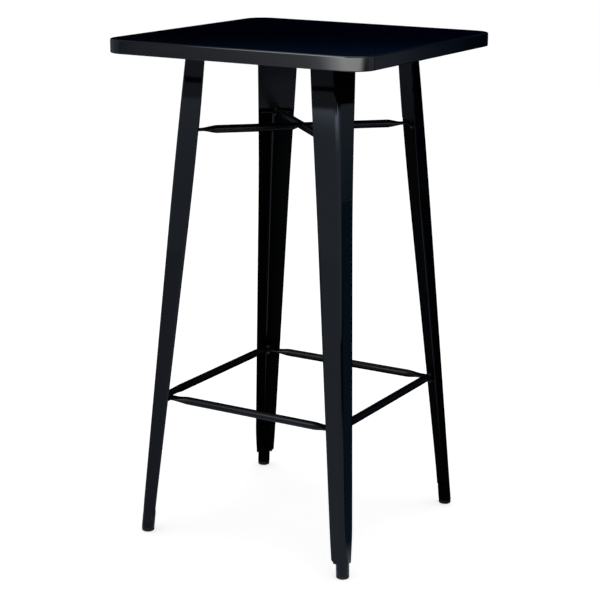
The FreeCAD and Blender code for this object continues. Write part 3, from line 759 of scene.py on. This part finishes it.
    def foot_shell(self) -> Shell:
        """Rubber foot: rounded tread, straight side, softened upper rim and the stem inside the neck.

        Its bends are quarter circles, radius * (1 - sine) and radius * (1 - cosine) away from the corners
        that they round.

        Returns:
            The shell, turned into its corner.
        """
        quarter = np.linspace(0.0, QUARTER_TURN, self.foot_steps)
        outer = self.neck - self.foot_inset
        stem = self.neck - self.sheet - self.stem_gap
        radius = np.concatenate([self.tread_rings, outer - self.foot_round * (1 - np.sin(quarter)),
                                 outer - self.foot_soft * (1 - np.cos(quarter)),
                                 [stem, stem, stem - self.stem_soft, self.stem_ring]])
        level = np.concatenate([np.zeros_like(self.tread_rings), self.foot_round * (1 - np.cos(quarter)),
                                self.neck_end - self.foot_soft * (1 - np.sin(quarter)),
                                [self.neck_end, self.stem_end - self.stem_soft],
                                [self.stem_end, self.stem_end]])
        return self.leaning_rings(radius, level, Ending.POLE)

    def build(self) -> None:
        """Makes the leg and its foot."""
        make_piece(f"leg_{self.name}_sheet", [self.angle_shell(), self.neck_shell()], Slot.LEG,
                   [f"leg_{self.name}"], self.finish, self.inside)
        make_piece(f"rubber_foot_{self.name}_cap", [self.foot_shell()], Slot.RUBBER,
                   [f"rubber_foot_{self.name}"], self.rubber)


@dataclass
class Lap:
    """Flat pressed into the middle of a brace rod where the other one crosses it. Sizes in millimetres.

    side is 1 where the rod keeps its upper half and -1 where it keeps its lower one. run_out is how many
    radii the press has moved away at the foot of its slope.
    """

    flat: float
    foot: float
    side: float
    soft: float = 0.6
    run_out: float = 1.2

    def press(self, along: np.ndarray, up: np.ndarray, radius: float) -> np.ndarray:
        """Holds heights within the press: a soft maximum of the height and a floor that slopes away.

        The floor is -radius * run_out * the share of the slope. Where both lie within soft of each other,
        (soft - their distance)^2 / (4 * soft) is added to the larger.

        Args:
            along: place along the rod.
            up: height above the rod's axis.
            radius: radius of the rod.

        Returns:
            The pressed heights.
        """
        slope = np.clip((np.abs(along) - self.flat) / (self.foot - self.flat), 0.0, 1.0)
        floor = -radius * self.run_out * slope
        high = up * self.side
        gap = np.clip(self.soft - np.abs(high - floor), 0.0, None)
        return self.side * (np.maximum(high, floor) + gap * gap / (4 * self.soft))


@dataclass
class PressedRod:
    """Tube with both ends pressed flat and rounded, laid level through a middle point.

    Sizes in millimetres. bolt is the distance of the end bolts from the middle, blade the length of the flat
    before a bolt.
    """

    name: str
    finish: bpy.types.Material
    middle: tuple[float, float, float]
    heading: float
    bolt: float
    blade: float
    lap: Lap | None = None
    radius: float = 8.5
    half_blade: float = 2.0
    half_width: float = 12.21
    taper: float = 30.0
    lap_reach: float = 45.0
    tip_turns: tuple[float, float] = (60.0, 88.0)
    tube_steps: int = 10
    lap_steps: tuple[int, int] = (60, 8)
    taper_steps: int = 24
    tip_steps: int = 12
    ring_steps: int = 48

    def places(self, start: float, stop: float) -> np.ndarray:
        """Places of the sections along the rod, closer where it is pressed and at the round tips.

        The stretches have even steps, and a tip's places are bolt + half_width * the sine of its turns.

        Args:
            start: start of the taper, from the middle.
            stop: end of the taper.

        Returns:
            Places from one end to the other.
        """
        near, far = self.tip_turns
        turn = np.radians(spans((0.0, near, self.tip_steps), (near, far, self.tip_steps)))
        tube = spans((0.0, start, self.tube_steps))
        if self.lap:
            close, wide = self.lap_steps
            tube = spans((0.0, self.lap_reach, close), (self.lap_reach, start, wide))
        half = np.concatenate([tube, spans((start, stop, self.taper_steps))[1:], [stop + self.blade / 2],
                               self.bolt + self.half_width * np.sin(turn)])
        return np.concatenate([-half[:0:-1], half])

    def shell(self) -> Shell:
        """Carries a stadium section along the rod.

        The section is a circle in the tube, and a slot of half width a and edge radius c in the blade. Both
        pass into each other along the taper, half in a straight line and half eased, and past the bolt a
        follows a circle about it, so that the tip is round.

        Returns:
            The shell in the table's frame.
        """
        stop = self.bolt - self.blade
        start = stop - self.taper
        along = self.places(start, stop)
        pressed = np.clip((np.abs(along) - start) / self.taper, 0.0, 1.0)
        pressed = (pressed + eased(pressed)) / 2
        past = np.clip(np.abs(along) - self.bolt, 0.0, self.half_width)
        wide = self.radius + (self.half_width - self.radius) * pressed
        wide = np.where(past > 0.0, np.sqrt(self.half_width ** 2 - past ** 2), wide)
        thick = np.minimum(self.radius + (self.half_blade - self.radius) * pressed, wide)
        angle = np.linspace(0.0, FULL_TURN, self.ring_steps, endpoint=False) + math.pi / self.ring_steps
        across = (wide - thick)[:, None] * np.sign(np.cos(angle)) + thick[:, None] * np.cos(angle)
        up = thick[:, None] * np.sin(angle)
        run = np.broadcast_to(along[:, None], up.shape)
        if self.lap:
            up = self.lap.press(run, up, self.radius)
        points = turned(np.stack([run, across, up], axis=-1), self.heading)
        return Shell(points + np.array(self.middle), Ending.POLE)

    def build(self) -> None:
        """Makes the rod in place of its CAD node."""
        make_piece(f"{self.name}_tube", [self.shell()], Slot.ROD, [self.name], self.finish)


@dataclass
class RodWork:
    """Cross brace under the top and ring of foot rails.

    Sizes in millimetres. lap_flat is half the flat where the brace rods cross, long_lap and short_lap are
    where its slope ends on the left-right and the back-front rod, and rail_step lifts the rails along Y.
    """

    finish: bpy.types.Material
    brace_level: float = 879.0
    brace_bolt: float = 241.70
    brace_blade: float = 25.0
    lap_flat: float = 10.8
    long_lap: float = 31.9
    short_lap: float = 13.8
    rail_level: float = 303.4
    rail_step: float = 4.0
    rail_bolt: float = 212.22
    rail_blade: float = 27.0

    def rods(self) -> list[PressedRod]:
        """All six rods, each at its place.

        Returns:
            The two brace rods, then the four foot rails.
        """
        made = []
        for name, heading, lap in (("left_right", 45.0, Lap(self.lap_flat, self.long_lap, 1.0)),
                                   ("back_front", 135.0, Lap(self.lap_flat, self.short_lap, -1.0))):
            made.append(PressedRod(f"brace_rod_{name}", self.finish, (0.0, 0.0, self.brace_level), heading,
                                   self.brace_bolt, self.brace_blade, lap))
        upper = self.rail_level + self.rail_step
        for name, x, y, level, heading in (("front_left", 0.0, -self.rail_bolt, self.rail_level, 0.0),
                                           ("back_right", 0.0, self.rail_bolt, self.rail_level, 0.0),
                                           ("front_right", self.rail_bolt, 0.0, upper, 90.0),
                                           ("back_left", -self.rail_bolt, 0.0, upper, 90.0)):
            made.append(PressedRod(f"foot_rail_{name}", self.finish, (x, y, level), heading,
                                   self.rail_bolt, self.rail_blade))
        return made

    def build(self) -> None:
        """Makes the brace and the foot ring."""
        for rod in self.rods():
            rod.build()


@dataclass
class PlainIron:
    """Webs, plates, channels and fasteners, shown as the CAD solids with finishes of their own."""

    web_finish: bpy.types.Material
    plate_finish: bpy.types.Material
    fastener_finish: bpy.types.Material
    web_start: str = "leg_web"
    plate_starts: tuple[str, ...] = ("top_channel", "leg_head_plate", "brace_gusset", "rail_gusset")
    fastener_ends: tuple[str, ...] = ("bolts", "nuts")

    def build(self) -> None:
        """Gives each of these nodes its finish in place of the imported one."""
        for name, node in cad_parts.items():
            if name.startswith(self.web_start):
                self.dress(node, self.web_finish)
            elif name.startswith(self.plate_starts):
                self.dress(node, self.plate_finish)
            elif name.endswith(self.fastener_ends):
                self.dress(node, self.fastener_finish)

    @staticmethod
    def dress(node: bpy.types.Object, finish: bpy.types.Material) -> None:
        """Puts a finish into all material slots of a node.

        Args:
            node: CAD node to dress.
            finish: its material.
        """
        for place in node.material_slots:
            place.material = finish
        LOG.info("%s: dressed with %s", node.name, finish.name)


# Studio


def grey(level: float, tint: Colour = (0.86, 1.0, 1.28)) -> Colour:
    """Cool grey of a level."""
    return (level * tint[0], level * tint[1], level * tint[2])


def even(level: float) -> Colour:
    """Plain grey of a level."""
    return (level, level, level)


def levels(*marks: tuple[float, float]) -> Stops:
    """Stops of plain greys, each given by its place and level."""
    return tuple((place, even(level)) for place, level in marks)


def stand(name: str, data: bpy.types.ID, *columns: np.ndarray | tuple[float, ...]) -> bpy.types.Object:
    """Puts an object into the scene.

    Args:
        name: name of the object.
        data: its mesh, light or camera.
        columns: its three axes and its place.

    Returns:
        The new object.
    """
    made = bpy.data.objects.new(name, data)
    made.matrix_world = Matrix([*np.column_stack(columns).tolist(), [0.0, 0.0, 0.0, 1.0]])
    bpy.context.scene.collection.objects.link(made)
    return made


@dataclass
class Surround:
    """What the gloss mirrors: a floor and a round wall, pale in front, dark behind, with a long soft light.

    Only reflections show it. Metres and degrees; headings are seen from the middle of the table, and 0 is
    +X. Stops go by heading, but those of sky and of names that end in rise go by height. below colours the
    floor, around the wall's foot and high the wall above the dark line. line is the height of that line,
    lit_line that of the edge above which the foot is shaded, and glow the strength of the glow under it.
    """

    radius: float = 6.0
    height: float = 12.0
    floor_gap: float = 0.002
    # Painted shade on the mirrored floor behind the table and to its right: its heading, edge, softness and
    # start.
    floor_shade_heading: float = 60.0
    floor_shade_edge: float = -0.20
    floor_shade_soft: float = 0.04
    floor_shade_start: tuple[float, float] = (-0.3, 0.1)
    fade_left: tuple[float, float] = (-50.0, -70.0)
    fade_right: tuple[float, float] = (-5.0, 10.0)
    fade_reach: tuple[float, float] = (3.2, 2.2)
    around: Stops = (
        (-180.0, grey(0.25)), (-150.0, grey(0.5)), (-140.0, grey(0.7)), (-131.0, grey(0.62)),
        (-124.0, grey(0.55)), (-118.0, grey(0.75)), (-95.0, grey(0.8)), (-40.0, grey(0.9)),
        (0.0, grey(0.9)), (31.0, (0.46, 0.56, 0.70)), (43.0, (0.25, 0.31, 0.39)),
        (47.0, (0.20, 0.25, 0.32)), (52.0, (0.11, 0.17, 0.24)), (55.0, (0.065, 0.125, 0.175)),
        (58.0, (0.03, 0.075, 0.12)), (61.0, (0.02, 0.06, 0.11)), (63.5, (0.0, 0.0, 0.005)),
        (140.0, (0.0, 0.0, 0.005)), (180.0, grey(0.25)),
    )
    below: Stops = (
        (-180.0, grey(0.25)), (-150.0, grey(0.3)), (-126.0, grey(0.42)), (-116.0, grey(0.7)),
        (-90.0, grey(0.72)), (-60.0, grey(0.7)), (-36.0, grey(0.8)), (-20.0, grey(0.6)),
        (-5.0, (0.03, 0.08, 0.14)), (50.0, (0.02, 0.06, 0.11)), (140.0, (0.0, 0.0, 0.005)),
        (180.0, grey(0.25)),
    )
    high: Stops = (
        (-180.0, grey(0.28)), (-138.0, grey(0.28)), (-131.0, grey(0.2)), (-127.5, grey(0.12)),
        (-125.5, grey(0.18)), (-118.0, grey(0.21)), (-97.0, grey(0.25)), (-88.0, grey(0.04)),
        (-75.0, even(0.0)), (54.0, even(0.0)), (57.5, grey(0.15)), (58.6, grey(0.13)),
        (59.8, (0.055, 0.070, 0.100)), (61.7, (0.020, 0.033, 0.055)), (62.9, (0.004, 0.010, 0.022)),
        (64.2, (0.0, 0.001, 0.013)), (140.0, even(0.0)), (180.0, grey(0.28)),
    )
    sky: Stops = (
        (0.0, even(0.0)), (1.70, even(0.0)), (1.76, (0.001, 0.004, 0.010)), (1.82, (0.004, 0.012, 0.022)),
        (1.90, (0.010, 0.020, 0.030)), (12.0, (0.02, 0.03, 0.04)),
    )
    band_turn: Stops = levels(
        (-180.0, 0.0), (-128.0, 0.0), (-126.5, 0.03), (-124.9, 0.11), (-123.3, 0.15), (-121.6, 0.18),
        (-120.0, 0.26), (-118.3, 0.35), (-116.6, 0.52), (-114.9, 0.85), (-112.0, 1.0), (-104.0, 0.9),
        (-98.0, 0.0), (10.0, 0.0), (18.0, 0.25), (46.0, 0.27), (55.0, 0.0), (180.0, 0.0),
    )
    band_rise: Stops = levels(
        (0.0, 0.0), (1.30, 0.0), (1.40, 0.85), (1.62, 1.2), (1.80, 1.2), (2.2, 0.0), (12.0, 0.0),
    )
    light_turn: Stops = levels(
        (-180.0, 0.0), (-123.2, 0.0), (-122.0, 0.5), (-121.6, 0.8), (-120.0, 1.05), (-118.3, 1.25),
        (-114.9, 1.55), (-110.0, 1.4), (-30.0, 1.3), (-20.0, 0.9), (-8.0, 0.4), (20.0, 0.12), (45.0, 0.1),
        (58.0, 0.0), (180.0, 0.0),
    )
    light_rise: Stops = levels(
        (0.0, 0.0), (1.65, 0.0), (1.80, 0.5), (2.0, 1.6), (2.2, 2.9), (2.6, 3.6), (4.0, 4.0), (6.0, 2.5),
        (9.0, 0.8), (12.0, 0.3),
    )
    light_slant: tuple[float, float] = (2.16, 2.4)
    front_turn: Stops = levels(
        (-180.0, 0.0), (-108.0, 0.0), (-96.0, 1.0), (-5.0, 1.0), (10.0, 0.0), (180.0, 0.0),
    )
    front_rise: Stops = levels(
        (0.0, 0.0), (1.98, 0.0), (2.1, 1.7), (2.2, 2.9), (2.6, 3.6), (2.8, 3.0), (3.0, 0.0), (12.0, 0.0),
    )
    line: Stops = levels(
        (-180.0, 0.95), (-139.7, 0.95), (-107.0, 1.11), (-99.5, 1.11), (-80.0, 1.24), (-65.0, 1.31),
        (-32.0, 1.31), (8.5, 1.06), (32.0, 0.80), (38.0, 0.73), (43.0, 0.70), (60.0, 0.66), (180.0, 0.95),
    )
    lit_line: Stops = levels(
        (-180.0, 0.84), (-139.7, 0.84), (-107.0, 0.965), (-100.0, 0.97), (-76.5, 1.17), (-35.0, 1.275),
        (8.0, 1.03), (32.0, 0.79), (43.0, 0.685), (60.0, 0.64), (180.0, 0.84),
    )
    glow: Stops = levels(
        (-180.0, 0.0), (-125.0, 0.0), (-110.0, 0.2), (-107.5, 0.5), (-105.0, 1.3), (-100.0, 2.0),
        (-80.0, 3.2), (-37.0, 4.5), (-15.0, 1.5), (3.0, 0.0), (180.0, 0.0),
    )
    line_half: float = 0.014
    line_soft: float = 0.006
    lit_soft: float = 0.012
    shade: float = 0.42
    glow_depth: float = 0.12
    steps: int = 96

    def ring(self) -> np.ndarray:
        """Points of a circle on the floor, the radius times the cosine and the sine of even steps."""
        angle = np.linspace(0.0, FULL_TURN, self.steps, endpoint=False)
        return self.radius * np.stack([np.cos(angle), np.sin(angle), np.zeros_like(angle)], axis=-1)

    @staticmethod
    def place(nodes: NodeTree) -> tuple[bpy.types.NodeSocket, ...]:
        """Place of the shaded point.

        Args:
            nodes: tree to add to.

        Returns:
            Object coordinates x, y and z and the heading in degrees.
        """
        apart = nodes.add("SeparateXYZ")
        nodes.feed(apart, nodes.add("TexCoord").outputs["Object"])
        x, y, z = apart.outputs
        return x, y, z, nodes.math("DEGREES", nodes.math("ARCTAN2", y, x))

    def floor_finish(self) -> bpy.types.Material:
        """Floor's glow by its heading, with painted shade behind the table and to its right.

        The painted shade begins at a straight edge along its own heading, at its edge distance left of the
        middle. To the right of the front the glow fades with the distance from the middle.

        Returns:
            The new material.
        """
        material = bpy.data.materials.new("mirrored_floor")
        nodes = NodeTree(material, "Material")
        x, y, _, turn = self.place(nodes)
        heading = math.radians(self.floor_shade_heading)
        across = nodes.math("ADD", nodes.math("MULTIPLY", x, -math.sin(heading)),
                            nodes.math("MULTIPLY", y, math.cos(heading)))
        along = nodes.math("ADD", nodes.math("MULTIPLY", x, math.cos(heading)),
                           nodes.math("MULTIPLY", y, math.sin(heading)))
        # Painted shade: the floor's glow is taken away past that edge.
        past = nodes.scale(across, self.floor_shade_edge - self.floor_shade_soft, self.floor_shade_edge + self.floor_shade_soft)
        floor_shade = nodes.math("MULTIPLY", past, nodes.scale(along, *self.floor_shade_start))
        unshaded = nodes.math("SUBTRACT", 1.0, floor_shade)
        square = nodes.math("ADD", nodes.math("MULTIPLY", x, x), nodes.math("MULTIPLY", y, y))
        reach = nodes.math("SQRT", square)
        aside = nodes.math("MAXIMUM", nodes.scale(turn, *self.fade_left),
                           nodes.scale(turn, *self.fade_right))
        near = nodes.math("MAXIMUM", nodes.scale(reach, *self.fade_reach), aside)
        nodes.show(nodes.glowing(nodes.ramp(turn, self.below), nodes.math("MULTIPLY", unshaded, near)))
        return material

    def foot_level(self, nodes: NodeTree, z: bpy.types.NodeSocket,
                   turn: bpy.types.NodeSocket) -> bpy.types.NodeSocket:
        """Strength of the wall's pale foot: shaded above the lit line, full and with a glow below it.

        The glow is a bell: it falls with e to minus the square of depth over glow_depth.

        Args:
            nodes: tree to add to.
            z: height on the wall.
            turn: heading in degrees.

        Returns:
            The strength.
        """
        depth = nodes.math("SUBTRACT", nodes.ramp(turn, self.lit_line), z)
        lit = nodes.scale(depth, -self.lit_soft, self.lit_soft)
        share = nodes.math("DIVIDE", depth, self.glow_depth)
        fall = nodes.math("EXPONENT", nodes.math("MULTIPLY", nodes.math("MULTIPLY", share, share), -1.0))
        spot = nodes.math("MULTIPLY", fall, nodes.ramp(turn, self.glow))
        full = nodes.math("ADD", spot, 1.0 - self.shade)
        return nodes.math("ADD", nodes.math("MULTIPLY", lit, full), self.shade)

    def soft_light(self, nodes: NodeTree, z: bpy.types.NodeSocket,
                   turn: bpy.types.NodeSocket) -> bpy.types.NodeSocket:
        """Long soft light, high up on the wall and only a strip straight in front.

        Its headings slant with the height above the start of the slant.

        Args:
            nodes: tree to add to.
            z: height on the wall.
            turn: heading in degrees.

        Returns:
            The light's emission.
        """
        start, slope = self.light_slant
        raised = nodes.math("MAXIMUM", nodes.math("SUBTRACT", z, start), 0.0)
        slanted = nodes.math("ADD", turn, nodes.math("MULTIPLY", raised, slope))
        front = nodes.ramp(turn, self.front_turn)
        strip = nodes.math("MULTIPLY", nodes.ramp(z, self.front_rise), front)
        sides = nodes.math("MULTIPLY", nodes.ramp(z, self.light_rise), nodes.math("SUBTRACT", 1.0, front))
        return nodes.glowing(nodes.math("ADD", strip, sides), nodes.ramp(slanted, self.light_turn))

    def wall_finish(self) -> bpy.types.Material:
        """Wall's glow: a pale foot up to a dark line, dim above it, with a band for the rim and a soft light.

        Each layer is a colour times a strength, by heading or by height, and the layers are added up.

        Returns:
            The new material.
        """
        material = bpy.data.materials.new("mirrored_wall")
        nodes = NodeTree(material, "Material")
        _, _, z, turn = self.place(nodes)
        over = nodes.math("SUBTRACT", z, nodes.ramp(turn, self.line))
        edge = self.line_half + self.line_soft
        below = nodes.scale(over, -edge, -self.line_half, 1.0, 0.0)
        above = nodes.scale(over, self.line_half, edge)
        foot = nodes.math("MULTIPLY", self.foot_level(nodes, z, turn), below)
        glow = nodes.glowing(nodes.ramp(turn, self.around), foot)
        for layer in (nodes.glowing(nodes.ramp(turn, self.high), above),
                      nodes.glowing(nodes.ramp(z, self.sky), 1.0),
                      nodes.glowing(nodes.ramp(z, self.band_rise), nodes.ramp(turn, self.band_turn)),
                      self.soft_light(nodes, z, turn)):
            glow = nodes.feed(nodes.add("AddShader"), glow, layer)
        nodes.show(glow)
        return material

    def set_up(self, name: str, points: np.ndarray, faces: list[list[int]],
               finish: bpy.types.Material) -> None:
        """Stands one surface up, seen by reflections only.

        Args:
            name: name of the surface.
            points: its points in metres.
            faces: point numbers of its faces.
            finish: its glow.
        """
        mesh = bpy.data.meshes.new(name)
        mesh.from_pydata(points.tolist(), [], faces)
        mesh.materials.append(finish)
        surface = stand(name, mesh, *np.eye(3), (0.0, 0.0, 0.0))
        surface.visible_camera = False
        surface.visible_diffuse = False
        surface.visible_shadow = False
        surface.visible_transmission = False

    def build(self) -> None:
        """Makes the floor's disc, just above the real floor, and the wall's quads between two rings."""
        ring = self.ring()
        here = np.arange(self.steps)
        beside = (here + 1) % self.steps
        self.set_up("mirrored_floor", ring + np.array([0.0, 0.0, self.floor_gap]), [here.tolist()],
                    self.floor_finish())
        self.set_up("mirrored_wall", np.concatenate([ring, ring + np.array([0.0, 0.0, self.height])]),
                    np.stack([here, beside, beside + self.steps, here + self.steps], axis=-1).tolist(),
                    self.wall_finish())


@dataclass
class Studio:
    """Pale floor, soft light and the camera at the photograph's angle. Metres and degrees.

    image, focal and half_pixel are in pixels, sensor is in millimetres.
    """

    image: float = 600.0
    focal: float = 1665.47
    half_pixel: float = 0.5
    sensor: float = 36.0
    distance: float = 3.48794
    azimuth: float = 30.023
    height: float = 1.42063
    yaw: float = 0.043
    pitch: float = 14.803
    roll: float = 0.494
    sight: float = 240.0
    floor_half: float = 60.0
    floor_white: float = 0.8
    floor_lift: float = 0.6
    fill: float = 0.5
    lamp_level: float = 5.0
    lamp_side: float = 5.0
    lamp_watts: float = 60.0

    def place_camera(self) -> None:
        """Camera from its distance, azimuth and height, turned by heading, pitch and roll.

        The view axis points down by the pitch along the heading; right is square to it and level, up is
        square to both, and the roll turns right and up about the view axis.
        """
        azimuth = math.radians(self.azimuth)
        heading = math.radians(self.azimuth + self.yaw)
        pitch = math.radians(self.pitch)
        roll = math.radians(self.roll)
        ahead = np.array([-math.sin(heading) * math.cos(pitch), math.cos(heading) * math.cos(pitch),
                          -math.sin(pitch)])
        right = np.cross(ahead, [0.0, 0.0, 1.0])
        right /= np.linalg.norm(right)
        up = np.cross(right, ahead)
        right, up = (math.cos(roll) * right + math.sin(roll) * up,
                     math.cos(roll) * up - math.sin(roll) * right)
        place = (self.distance * math.sin(azimuth), -self.distance * math.cos(azimuth), self.height)
        data = bpy.data.cameras.new("camera")
        data.sensor_width = self.sensor
        data.lens = self.focal / self.image * self.sensor
        data.clip_end = self.sight
        data.shift_x = -self.half_pixel / self.image
        data.shift_y = self.half_pixel / self.image
        bpy.context.scene.camera = stand("camera", data, right, up, -ahead, place)

    @staticmethod
    def shown(nodes: NodeTree) -> bpy.types.NodeSocket:
        """Tells the rays that show the white background.

        Args:
            nodes: tree to add to.

        Returns:
            Socket that is 1 for those rays, else 0.
        """
        path = nodes.add("LightPath")
        clear = nodes.math("MAXIMUM", path.outputs["Is Camera Ray"], path.outputs["Is Transmission Ray"])
        return nodes.math("MAXIMUM", clear, path.outputs["Is Glossy Ray"])

    def lay_floor(self) -> None:
        """Square pale floor under the feet that keeps the shadow and is lifted to white where it is shown."""
        corners = np.array([[-1, -1, 0], [1, -1, 0], [1, 1, 0], [-1, 1, 0]]) * self.floor_half
        mesh = bpy.data.meshes.new("floor")
        mesh.from_pydata(corners.tolist(), [], [[0, 1, 2, 3]])
        material = bpy.data.materials.new("pale_floor")
        nodes = NodeTree(material, "Material")
        paint = nodes.add("BsdfDiffuse", Color=(*even(self.floor_white), 1.0))
        lift = nodes.glowing((*even(1.0), 1.0), nodes.math("MULTIPLY", self.shown(nodes), self.floor_lift))
        nodes.show(nodes.feed(nodes.add("AddShader"), paint.outputs["BSDF"], lift))
        mesh.materials.append(material)
        stand("floor", mesh, *np.eye(3), (0.0, 0.0, 0.0))

    def light_room(self) -> None:
        """White surroundings that fill softly, and one wide soft light overhead."""
        world = bpy.data.worlds.new("studio")
        bpy.context.scene.world = world
        nodes = NodeTree(world, "World")
        level = nodes.scale(self.shown(nodes), 0.0, 1.0, self.fill, 1.0)
        nodes.show(nodes.feed(nodes.add("Background"), (*even(1.0), 1.0), level))
        lamp = bpy.data.lights.new("soft_light", "AREA")
        lamp.size = self.lamp_side
        lamp.energy = self.lamp_watts
        stand("soft_light", lamp, *np.eye(3), (0.0, 0.0, self.lamp_level)).visible_camera = False

    def build(self) -> None:
        """Sets up camera, floor and light, with the plain view transform."""
        self.place_camera()
        self.lay_floor()
        self.light_room()
        bpy.context.scene.view_settings.view_transform = "Standard"


def main() -> None:
    """Builds the table from the top down, then the studio."""
    logging.basicConfig(level=logging.INFO, format="%(name)s: %(message)s")
    TableTop(TOP_GLOSS.build()).build()
    leg_finishes = (LEG_GLOSS.build(), SHADED_INSIDE.build(), RUBBER.build())
    for corner in Corner:
        Leg(corner, *leg_finishes).build()
    RodWork(ROD_GLOSS.build()).build()
    PlainIron(WEB_SATIN.build(), SATIN.build(), ZINC.build()).build()
    Surround().build()
    Studio().build()


if __name__ == "__main__":
    main()
